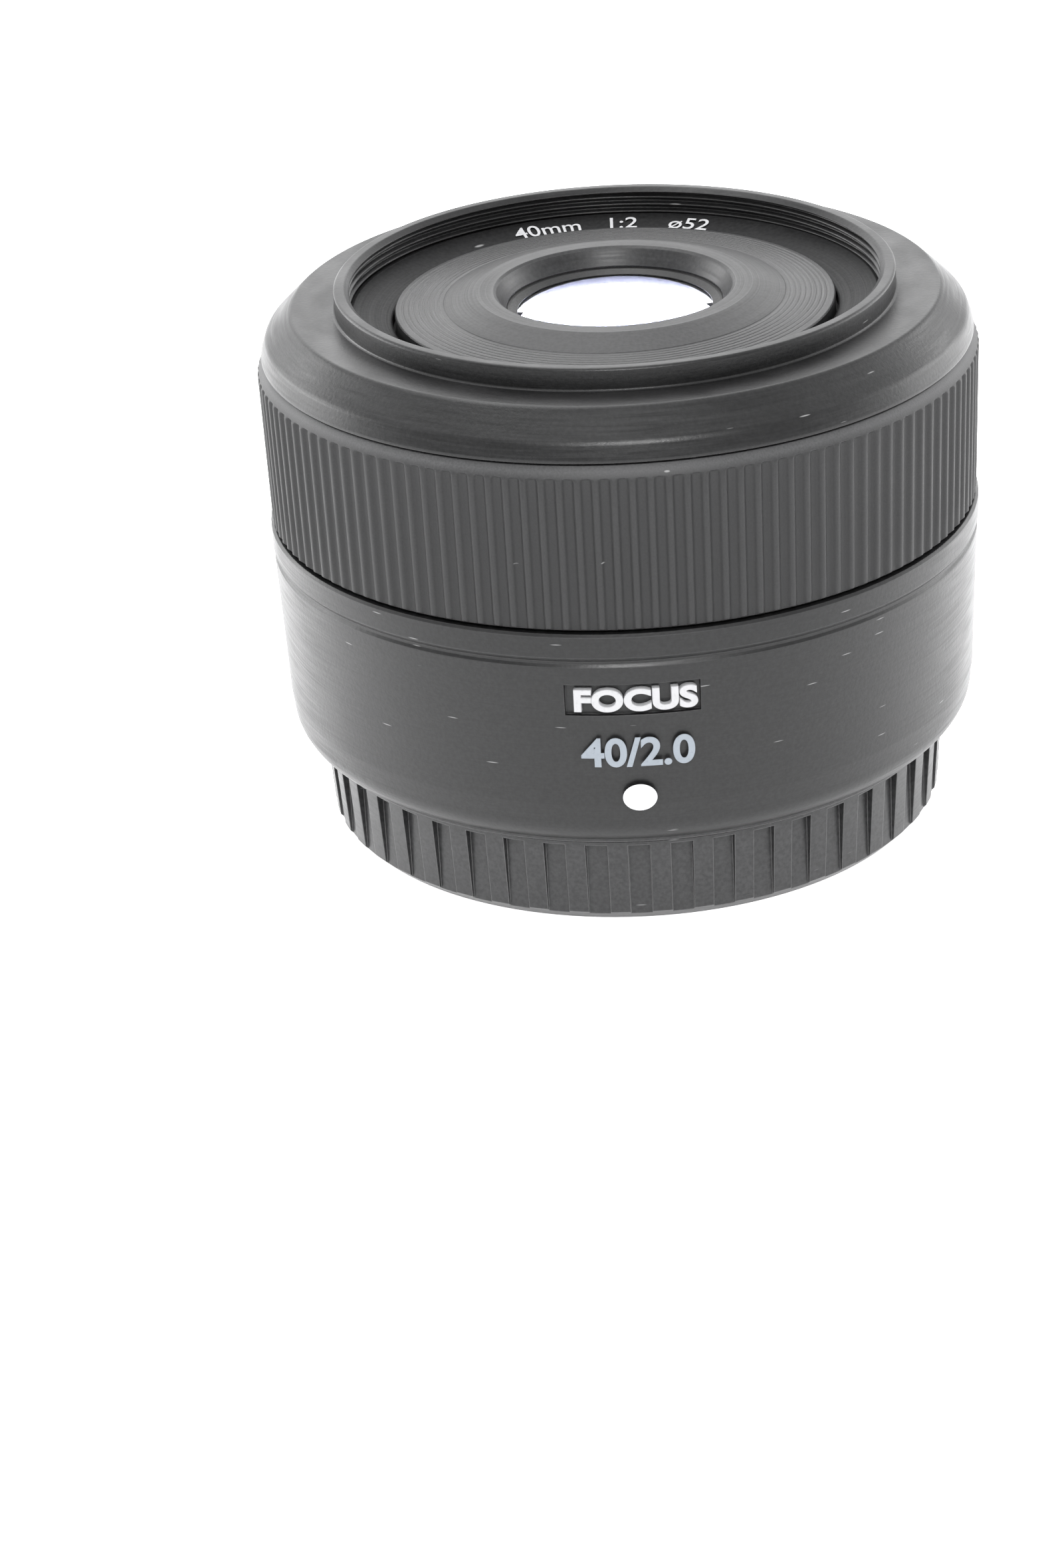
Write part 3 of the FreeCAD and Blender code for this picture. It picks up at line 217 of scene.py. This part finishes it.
def worked(name, colour, roughness, metallic, grain, stretch=(1, 1, 1), grain_scale=3000, edge=0.06):
    """A plain engineering material: colour and roughness vary a little, with a fine surface grain."""
    graph = Graph(name)
    fine = graph.noise(graph.stretched(*stretch), grain_scale, 3)
    cloud = graph.noise(graph.stretched(1, 1, 1), 200, 3)
    soft, rims = graph.soft_edges(edge * MM)
    dark = tuple(0.78 * c for c in colour[:3]) + (1.0,)
    pale = tuple(min(1.0, 1.2 * c + 0.01) for c in colour[:3]) + (1.0,)
    base = graph.mixed(graph.spread(cloud, 0.3, 0.7), dark, pale)
    base = graph.mixed(graph.sums("MULTIPLY", graph.spread(fine, 0.35, 0.65), 0.35), base, dark)
    base = graph.mixed(graph.sums("MULTIPLY", rims, 0.4), base, pale)
    rough = graph.sums("ADD", graph.spread(fine, 0.3, 0.7, roughness - 0.06, roughness + 0.06),
                       graph.spread(cloud, 0.3, 0.7, -0.03, 0.03))
    normal = graph.bump(fine, grain * MM, soft)
    return graph.finish(Base_Color=base, Roughness=rough, Metallic=metallic, Normal=normal)


def felt(name):
    """Black felt: dull, with a coarse fibrous surface."""
    graph = Graph(name)
    fibres = graph.noise(graph.stretched(1, 1, 1), 4000, 5, 0.7)
    colour = graph.mixed(fibres, grey(0.008), grey(0.04))
    rough = graph.spread(fibres, 0.3, 0.7, 0.85, 1.0)
    return graph.finish(Base_Color=colour, Roughness=rough, Normal=graph.bump(fibres, 0.05 * MM))


def circuit_board(name):
    """Green solder resist over a grid of slightly raised, paler tracks."""
    graph = Graph(name)
    tracks = graph.add("ShaderNodeTexBrick", {
        "Vector": graph.stretched(260, 260, 260),
        "Scale": 1.0,
        "Mortar Size": 0.02,
        "Color1": (0.02, 0.10, 0.05, 1),
        "Color2": (0.015, 0.085, 0.04, 1),
        "Mortar": (0.05, 0.2, 0.1, 1),
    })
    fine = graph.noise(graph.stretched(1, 1, 1), 2500, 3)
    shadow = (0.01, 0.06, 0.03, 1)
    colour = graph.mixed(graph.spread(fine, 0.4, 0.7, 0, 0.4), tracks.outputs["Color"], shadow)
    return graph.finish(Base_Color=colour, Roughness=graph.spread(fine, 0.3, 0.7, 0.3, 0.45),
                        Normal=graph.bump(tracks.outputs["Fac"], 0.03 * MM))


def coated_glass(name, tint, film_tint):
    """Optical glass whose antireflection film tints what it reflects, with faint wipe marks."""
    graph = Graph(name)
    wipe = graph.noise(graph.stretched(90, 700, 90), 1, 4)
    rough = graph.spread(wipe, 0.45, 0.75, 0.0, 0.015)
    return graph.finish(Base_Color=tint, Roughness=rough, IOR=1.75, Transmission_Weight=1.0,
                        Specular_Tint=film_tint)


def marking_paint(name, colour, roughness):
    """Filled or printed marking paint: slightly uneven, a little worn at its edges."""
    graph = Graph(name)
    fine = graph.noise(graph.stretched(1, 1, 1), 3600, 4, 0.7)
    cloud = graph.noise(graph.stretched(1, 1, 1), 500, 2)
    soft, rims = graph.soft_edges(0.08 * MM)
    dark = tuple(0.72 * c for c in colour[:3]) + (1.0,)
    base = graph.mixed(graph.spread(fine, 0.55, 0.75, 0.0, 0.6), colour, dark)
    base = graph.mixed(graph.spread(cloud, 0.55, 0.8, 0.0, 0.35), base, dark)
    base = graph.mixed(graph.sums("MULTIPLY", rims, 0.35), base, dark)
    rough = graph.spread(fine, 0.3, 0.7, roughness - 0.08, roughness + 0.08)
    return graph.finish(Base_Color=base, Roughness=rough, Normal=graph.bump(fine, 0.012 * MM, soft))


def floor_card(name):
    """White card that glows more behind and beside the lens than in front of it."""
    graph = Graph(name)
    fibre = graph.noise(graph.stretched(1, 1, 1), 900, 4, 0.6)
    colour = graph.mixed(fibre, grey(0.90, 1.005), grey(0.94, 1.005))
    parts = graph.add("ShaderNodeSeparateXYZ", {0: graph.place}).outputs
    front_glow, back_glow = 0.22, 1.5
    glow = graph.spread(parts[1], -80 * MM, 30 * MM, front_glow, back_glow)
    rough = graph.spread(fibre, 0.3, 0.7, 0.6, 0.75)
    return graph.finish(Base_Color=colour, Roughness=rough, Normal=graph.bump(fibre, 0.02 * MM),
                        Emission_Color=grey(1.0), Emission_Strength=glow)


def make_materials():
    steel_stretch = (1, 1, 0.05)
    made = {
        "shell_black": black_shell("shell_black", 0.009, 0.38, 0.30, 0.018, dust=0.03),
        "ring_black": rib_rubber("ring_black"),
        "cap_black": black_shell("cap_black", 0.027, 0.36, 0.08, 0.008, dust=0.015),
        "mount_black": black_shell("mount_black", 0.030, 0.38, 0.08, 0.008),
        "face_black": black_shell("face_black", 0.019, 0.42, 0.22, 0.008, across=turned_lines, dust=0.012),
        "dish_black": black_shell("dish_black", 0.013, 0.50, 0.15, 0.01, across=turned_lines, dust=0.02,
                                  gloss=0.16),
        "frame_black": worked("frame_black", grey(0.022), 0.62, 0.0, 0.012),
        "glass_element": coated_glass("glass_element", (0.97, 0.98, 1.0, 1.0), (0.42, 0.46, 1.0, 1.0)),
        "steel": worked("steel", grey(0.55), 0.30, 1.0, 0.004, steel_stretch),
        "screw_steel": worked("screw_steel", grey(0.16), 0.36, 1.0, 0.006),
        "contact_gold": worked("contact_gold", (0.86, 0.62, 0.25, 1), 0.22, 1.0, 0.003),
        "bush_bronze": worked("bush_bronze", (0.52, 0.33, 0.16, 1), 0.38, 1.0, 0.006),
        "nut_plastic": worked("nut_plastic", (0.78, 0.76, 0.70, 1), 0.45, 0.0, 0.008),
        "board_green": circuit_board("board_green"),
        "chip_black": worked("chip_black", grey(0.02), 0.5, 0.0, 0.012),
        "flex_amber": worked("flex_amber", (0.42, 0.19, 0.03, 1), 0.28, 0.0, 0.004),
        "felt": felt("felt"),
        "blade_black": worked("blade_black", grey(0.014), 0.55, 0.3, 0.004),
        "anodised": worked("anodised", grey(0.03), 0.40, 0.6, 0.004, (1, 1, 1), 5000),
    }
    return made


# ---------------------------------------------------------------- mesh helpers


def new_piece(name, mesh, material, body):
    piece = bpy.data.objects.new(name, mesh)
    bpy.context.scene.collection.objects.link(piece)
    mesh.materials.append(material)
    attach(piece, body)
    return piece


def rounded(corners, steps=5):
    """Corners are (radius, height, size of the round): each round is a short curve of `steps` points."""
    outline = []
    for i, (x, y, size) in enumerate(corners):
        here = Vector((x, y))
        if not size:
            outline.append(here)
            continue
        before = Vector(corners[i - 1][:2]) - here
        after = Vector(corners[(i + 1) % len(corners)][:2]) - here
        start = here + before.normalized() * size
        end = here + after.normalized() * size
        for step in range(steps + 1):
            t = step / steps
            outline.append(start * (1 - t) ** 2 + here * 2 * t * (1 - t) + end * t ** 2)
    return outline


def turn_outline(name, outline, segments, radius_at):
    """A closed outline carried round the optical axis; radius_at(point, share of a turn) may vary it."""
    shape = bmesh.new()
    rings = []
    for i in range(segments):
        share = i / segments
        cos, sin = math.cos(2 * math.pi * share), math.sin(2 * math.pi * share)
        ring = []
        for point in outline:
            radius = radius_at(point, share)
            ring.append(shape.verts.new((radius * cos, radius * sin, point.y)))
        rings.append(ring)
    for i in range(segments):
        ring, after = rings[i], rings[(i + 1) % segments]
        for j in range(len(outline)):
            k = (j + 1) % len(outline)
            shape.faces.new((ring[j], after[j], after[k], ring[k]))
    bmesh.ops.recalc_face_normals(shape, faces=shape.faces)
    mesh = bpy.data.meshes.new(name)
    shape.to_mesh(mesh)
    shape.free()
    mesh.shade_smooth()
    mesh.set_sharp_from_angle(angle=math.radians(38))
    return mesh


# ---------------------------------------------------------------- front shell with its filter thread

THREAD_PITCH = 0.75 * MM
THREAD_DEPTH = 0.43 * MM


def thread_shape(height, share):
    """0 on the crest and 1 at the root of a right-hand thread, at a height and a share of a turn."""
    phase = (height / THREAD_PITCH - share) % 1.0
    crest, root = 0.16, 0.22
    slope = (abs(2 * phase - 1) - crest) / (1 - crest - root)
    return min(max(slope, 0.0), 1.0)


def front_shell(material):
    """The sloping shoulder, the rim and the real screw thread inside it."""
    lowest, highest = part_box("front_bezel")
    low, rim, wide = lowest.z, highest.z, highest.x
    minor = MOUNTS["filter_thread"]["dims"]["r_mm"] * MM
    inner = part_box("focus_ring")[1].x - 2.35 * MM
    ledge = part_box("name_ring")[0].z
    undercut, ledge_radius = minor + 0.556 * MM, minor - 1.094 * MM
    shoulder, neck = rim - 1.98 * MM, minor + 1.506 * MM
    thread_top, thread_low = rim - 0.45 * MM, rim - 2.6 * MM
    samples = 56
    wall = [
        (minor, thread_top + (thread_low - thread_top) * i / samples, 0) for i in range(samples + 1)
    ]
    corners = [
        (inner, low, 0),
        (wide, low, 0.1 * MM),
        (wide, low + 0.3 * MM, 0.1 * MM),
        (wide - 0.45 * MM, shoulder - 2.7 * MM, 0.15 * MM),
        (wide - 0.65 * MM, shoulder - 2.42 * MM, 0.12 * MM),
        (wide - 3.0 * MM, shoulder - 0.17 * MM, 0.14 * MM),
        (wide - 3.25 * MM, shoulder, 0.14 * MM),
        (neck + 0.15 * MM, shoulder - 0.19 * MM, 0.08 * MM),
        (neck, shoulder - 0.04 * MM, 0.05 * MM),
        (neck, rim - 0.2 * MM, 0.1 * MM),
        (neck - 0.2 * MM, rim, 0.1 * MM),
        (minor + 0.5 * MM, rim, 0.08 * MM),
        *wall,
        (undercut, thread_low - 0.2 * MM, 0),
        (undercut, ledge, 0),
        (ledge_radius, ledge, 0),
        (ledge_radius, low + 0.9 * MM, 0),
        (inner, low + 0.9 * MM, 0),
    ]

    def radius_at(point, share):
        on_wall = abs(point.x - minor) < 1e-7 and thread_low - 1e-7 <= point.y <= thread_top + 1e-7
        if not on_wall:
            return point.x
        fade = min(1.0, (thread_top - point.y) / (0.2 * MM))
        return point.x + THREAD_DEPTH * fade * thread_shape(point.y, share)

    mesh = turn_outline("front_shell", rounded(corners), 480, radius_at)
    piece = new_piece("front_shell", mesh, material, "barrel")
    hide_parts("front_bezel")
    return piece


# ---------------------------------------------------------------- control ring

RIBS = 132
RIB_DEPTH = 0.36 * MM
RING_WALL = 2.4 * MM
RING_TAPER = 0.28 * MM
CHAMFER_START = 1.3 * MM
CHAMFER_HEIGHT = 1.0 * MM
CHAMFER_INSET = 0.62 * MM
SAMPLES_PER_RIB = 14


def control_ring(material):
    """The ribbed ring: rounded ribs whose grooves run out below a smooth chamfer at the top."""
    lowest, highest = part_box("focus_ring")
    low, top, crest = lowest.z, highest.z, highest.x
    bore = crest - RING_WALL
    foot, brow = low + 0.25 * MM, top - CHAMFER_START
    wall_steps, brow_steps = 6, 14
    wall = [
        (crest - RING_TAPER * (1 - i / wall_steps), foot + (brow - foot) * i / wall_steps, 0)
        for i in range(wall_steps + 1)
    ]
    chamfer = [
        (crest - CHAMFER_INSET * (i / brow_steps) ** 1.25, brow + CHAMFER_HEIGHT * i / brow_steps, 0)
        for i in range(1, brow_steps + 1)
    ]
    corners = [
        (bore, low, 0),
        (crest - RING_TAPER - 0.3 * MM, low, 0.06 * MM),
        *wall,
        *chamfer,
        (crest - 0.85 * MM, top, 0.08 * MM),
        (bore, top, 0),
    ]

    def radius_at(point, share):
        if point.x < crest - 1.0 * MM:
            return point.x
        across = abs(2 * ((share * RIBS + 0.5) % 1.0) - 1)
        blend = min(max((across - 0.34) / 0.48, 0.0), 1.0)
        fade = min(max((top - 0.8 * MM - point.y) / (0.5 * MM), 0.0), 1.0)
        groove = (1 - blend * blend * (3 - 2 * blend)) * fade * fade * (3 - 2 * fade)
        line = crest - RING_TAPER * max(0.0, (brow - point.y) / (brow - foot))
        return min(point.x, line - RIB_DEPTH * groove)

    mesh = turn_outline("control_ring", rounded(corners, 3), RIBS * SAMPLES_PER_RIB, radius_at)
    piece = new_piece("control_ring", mesh, material, "control_ring")
    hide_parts("focus_ring")
    return piece


# ---------------------------------------------------------------- markings


def flat_letters(text, bold=0.0, spacing=1.0, round_edge=0.0):
    """A mesh of one line of text, thin along Z, as bmesh."""
    curve = bpy.data.curves.new("letters", "FONT")
    curve.body = text
    curve.offset = bold
    curve.space_character = spacing
    curve.extrude = 0.05
    curve.bevel_depth = round_edge
    curve.bevel_resolution = 1
    curve.resolution_u = 8
    item = bpy.data.objects.new("letters", curve)
    bpy.context.scene.collection.objects.link(item)
    bpy.context.view_layer.update()
    mesh = bpy.data.meshes.new_from_object(item.evaluated_get(bpy.context.evaluated_depsgraph_get()))
    shape = bmesh.new()
    shape.from_mesh(mesh)
    bpy.data.objects.remove(item)
    bpy.data.curves.remove(curve)
    bpy.data.meshes.remove(mesh)
    bmesh.ops.remove_doubles(shape, verts=shape.verts, dist=1e-5)
    return shape


def fit_letters(shape, width, height, thickness, centred=True):
    """Scales text to its real size, with the baseline at y = 0 and z from 0 to the thickness."""
    xs = [v.co.x for v in shape.verts]
    ys = [v.co.y for v in shape.verts]
    zs = [v.co.z for v in shape.verts]
    left, right = min(xs), max(xs)
    low, high = min(ys), max(ys)
    near, far = min(zs), max(zs)
    for v in shape.verts:
        v.co.x = (v.co.x - (left + right) / 2) * width / (right - left)
        v.co.y = (v.co.y - low) * height / (high - low) - (height / 2 if centred else 0)
        v.co.z = (v.co.z - near) * thickness / (far - near)


def slice_upright(shape, width, pieces):
    """Cuts the letters into upright strips, so that they bend smoothly."""
    for i in range(1, pieces):
        x = width * (i / pieces - 0.5)
        geometry = list(shape.verts) + list(shape.edges) + list(shape.faces)
        bmesh.ops.bisect_plane(shape, geom=geometry, plane_co=(x, 0, 0), plane_no=(1, 0, 0), dist=1e-7)


def finish_marking(name, shape, place, material, body):
    for v in shape.verts:
        v.co = place(v.co)
    bmesh.ops.recalc_face_normals(shape, faces=shape.faces)
    mesh = bpy.data.meshes.new(name)
    shape.to_mesh(mesh)
    shape.free()
    return new_piece(name, mesh, material, body)


def on_wall(radius, height, swing):
    """Places flat artwork on an upright wall, facing -Y and swung about the axis by `swing`."""

    def place(point):
        angle = point.x / radius + swing
        reach = radius + point.z
        return Vector((reach * math.sin(angle), -reach * math.cos(angle), height + point.y))

    return place


def on_cone(radius, height, slope):
    """Places flat artwork on the name ring's far side, with its top edge outwards."""

    def place(point):
        angle = point.x / radius
        reach = radius + point.y
        lift = height + point.y * slope + point.z
        return Vector((reach * math.sin(angle), reach * math.cos(angle), lift))

    return place


MARK_SWING = math.radians(0.5)


def badge(material):
    """Raised letters that fill the recess in the rear barrel. The word is a plain noun."""
    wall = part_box("rear_barrel")[1].x - 0.8 * MM
    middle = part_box("rear_barrel")[0].z + 15.62 * MM
    width, height = 11.3 * MM, 2.3 * MM
    shape = flat_letters("FOCUS", bold=0.035, spacing=1.02, round_edge=0.012)
    fit_letters(shape, width, height, 0.72 * MM)
    slice_upright(shape, width, 24)
    piece = finish_marking("badge_letters", shape, on_wall(wall, middle, MARK_SWING), material, "barrel")
    return piece


def focal_numerals(material):
    """Focal length and aperture, printed below the badge."""
    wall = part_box("rear_barrel")[1].x - 0.015 * MM
    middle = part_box("rear_barrel")[0].z + 10.4 * MM
    width, height = 10.6 * MM, 3.0 * MM
    shape = flat_letters("40/2.0", bold=0.026)
    fit_letters(shape, width, height, 0.035 * MM)
    slice_upright(shape, width, 24)
    return finish_marking("focal_numerals", shape, on_wall(wall, middle, MARK_SWING), material, "barrel")


def index_dot(material):
    """The mounting index: a slightly domed oval inlay."""
    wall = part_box("rear_barrel")[1].x - 0.03 * MM
    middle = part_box("rear_barrel")[0].z + 5.7 * MM
    half_width, half_height, crown = 1.6 * MM, 1.35 * MM, 0.07 * MM
    steps, rings = 48, 6
    shape = bmesh.new()
    centre = shape.verts.new((0, 0, crown))
    loops = []
    for r in range(1, rings + 1):
        share = r / rings
        lift = crown * (1 - share ** 3)
        loop = []
        for i in range(steps):
            angle = 2 * math.pi * i / steps
            loop.append(shape.verts.new((half_width * share * math.cos(angle),
                                         half_height * share * math.sin(angle), lift)))
        loops.append(loop)
    for i in range(steps):
        shape.faces.new((centre, loops[0][i], loops[0][(i + 1) % steps]))
    for inner, outer in zip(loops, loops[1:]):
        for i in range(steps):
            k = (i + 1) % steps
            shape.faces.new((inner[i], outer[i], outer[k], inner[k]))
    piece = finish_marking("index_dot", shape, on_wall(wall, middle, MARK_SWING), material, "barrel")
    piece.data.shade_smooth()
    return piece


def ring_numerals(material):
    """Focal length, aperture and thread size, printed on the dished ring round the front barrel."""
    ring_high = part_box("name_ring")[1]
    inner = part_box("inner_barrel")[1].x + 0.6 * MM
    rise = 1.0 * MM
    slope = rise / (ring_high.x - 1.2 * MM - inner)
    base_radius = inner + 0.75 * MM
    base_height = ring_high.z - rise + (base_radius - inner + 0.15 * MM) * slope
    width, height = 19.5 * MM, 1.8 * MM
    shape = flat_letters("40mm   1:2    ø52", bold=0.008)
    fit_letters(shape, width, height, 0.03 * MM, centred=False)
    slice_upright(shape, width, 40)
    place = on_cone(base_radius, base_height, slope)
    return finish_marking("ring_numerals", shape, place, material, "barrel")


# ---------------------------------------------------------------- studio


def aim(item, target):
    item.rotation_mode = "QUATERNION"
    item.rotation_quaternion = (Vector(target) - item.location).to_track_quat("-Z", "Y")


def softbox(name, place, target, width, height, power):
    light = bpy.data.lights.new(name, "AREA")
    light.shape = "RECTANGLE"
    light.size = width
    light.size_y = height
    light.energy = power
    item = bpy.data.objects.new(name, light)
    item.location = place
    bpy.context.scene.collection.objects.link(item)
    aim(item, target)
    return item


def studio():
    """A white floor card and a bright, even surround that is dimmer on the viewer's side."""
    card = bmesh.new()
    bmesh.ops.create_grid(card, x_segments=8, y_segments=8, size=2.5)
    mesh = bpy.data.meshes.new("floor")
    card.to_mesh(mesh)
    card.free()
    floor = bpy.data.objects.new("floor", mesh)
    mesh.materials.append(floor_card("floor_card"))
    bpy.context.scene.collection.objects.link(floor)

    world = bpy.data.worlds.new("studio")
    bpy.context.scene.world = world
    world.use_nodes = True
    tree = world.node_tree
    direction = tree.nodes.new("ShaderNodeTexCoord").outputs["Generated"]
    parts = tree.nodes.new("ShaderNodeSeparateXYZ")
    tree.links.new(direction, parts.inputs[0])
    ramp = tree.nodes.new("ShaderNodeMapRange")
    ramp.inputs["From Min"].default_value = -0.9
    ramp.inputs["From Max"].default_value = 0.7
    ramp.inputs["To Min"].default_value = 0.5
    ramp.inputs["To Max"].default_value = 1.2
    tree.links.new(parts.outputs[1], ramp.inputs["Value"])
    tree.links.new(ramp.outputs[0], tree.nodes["Background"].inputs["Strength"])
    tree.nodes["Background"].inputs["Color"].default_value = (0.985, 0.99, 1.0, 1.0)

    softbox("window", (-0.1, 1.3, 0.75), (0, 0, 0.05), 1.6, 1.1, 7)
    softbox("top_panel", (-0.2, 0.25, 1.1), (0, 0, 0.03), 0.8, 0.5, 5)
    softbox("front_panel", (0.05, -0.8, 0.75), (0, 0, 0.05), 0.3, 0.2, 6.2)
    softbox("left_panel", (-1.2, 0.6, 0.35), (0, 0, 0.03), 1.0, 0.6, 9)
    softbox("right_panel", (1.2, 0.6, 0.35), (0, 0, 0.03), 1.0, 0.6, 7)
    glint = softbox("glass_panel", (0.0, 1.04, 0.52), (0, 0, 0.05), 2.4, 1.04, 300)
    only_glass = bpy.data.collections.new("lit_by_glass_panel")
    only_glass.objects.link(NODES["lens_1"])
    glint.light_linking.receiver_collection = only_glass


def camera():
    """A longish view from the front, 26 degrees above the horizon."""
    focal_pixels, long_side = 6000, 2359
    place = Vector((0, -366.67, 180.16)) * MM
    yaw, pitch, roll = math.radians(-1.845), math.radians(26.134), math.radians(-3.379)
    ahead = Vector((math.sin(yaw) * math.cos(pitch), math.cos(yaw) * math.cos(pitch), -math.sin(pitch)))
    right = Vector((math.cos(yaw), -math.sin(yaw), 0))
    up = right.cross(ahead)
    level_right = math.cos(roll) * right + math.sin(roll) * up
    level_up = -math.sin(roll) * right + math.cos(roll) * up
    data = bpy.data.cameras.new("camera")
    data.sensor_width = 36
    data.lens = focal_pixels / long_side * data.sensor_width
    data.clip_start = 0.01
    item = bpy.data.objects.new("camera", data)
    turn = Matrix((level_right, level_up, -ahead)).transposed()
    item.matrix_world = Matrix.Translation(place) @ turn.to_4x4()
    bpy.context.scene.collection.objects.link(item)
    bpy.context.scene.camera = item


# ---------------------------------------------------------------- the whole scene


def build():
    materials = make_materials()
    slots = {part["node"]: part["material_slot"] for part in frame["record"]["subparts"]}
    for node, item in NODES.items():
        for slot in item.material_slots:
            slot.material = materials[slots[node]]
    # painted shade: the white paint of the badge and ring letters is toned down to 0.55 to stand in for the
    # shade on them; the index dot's white below is the full colour
    white = marking_paint("marking_white_painted_shade", (0.55, 0.55, 0.56, 1.0), 0.45)
    bright = marking_paint("marking_bright", (0.86, 0.87, 0.88, 1.0), 0.45)
    cool = marking_paint("marking_cool", (0.30, 0.335, 0.375, 1.0), 0.5)
    NODES["name_ring"].material_slots[0].material = materials["dish_black"]
    front_shell(materials["shell_black"])
    control_ring(materials["ring_black"])
    badge(white)
    focal_numerals(cool)
    index_dot(bright)
    ring_numerals(white)
    studio()
    camera()
    bpy.context.scene.view_settings.view_transform = "Standard"


build()
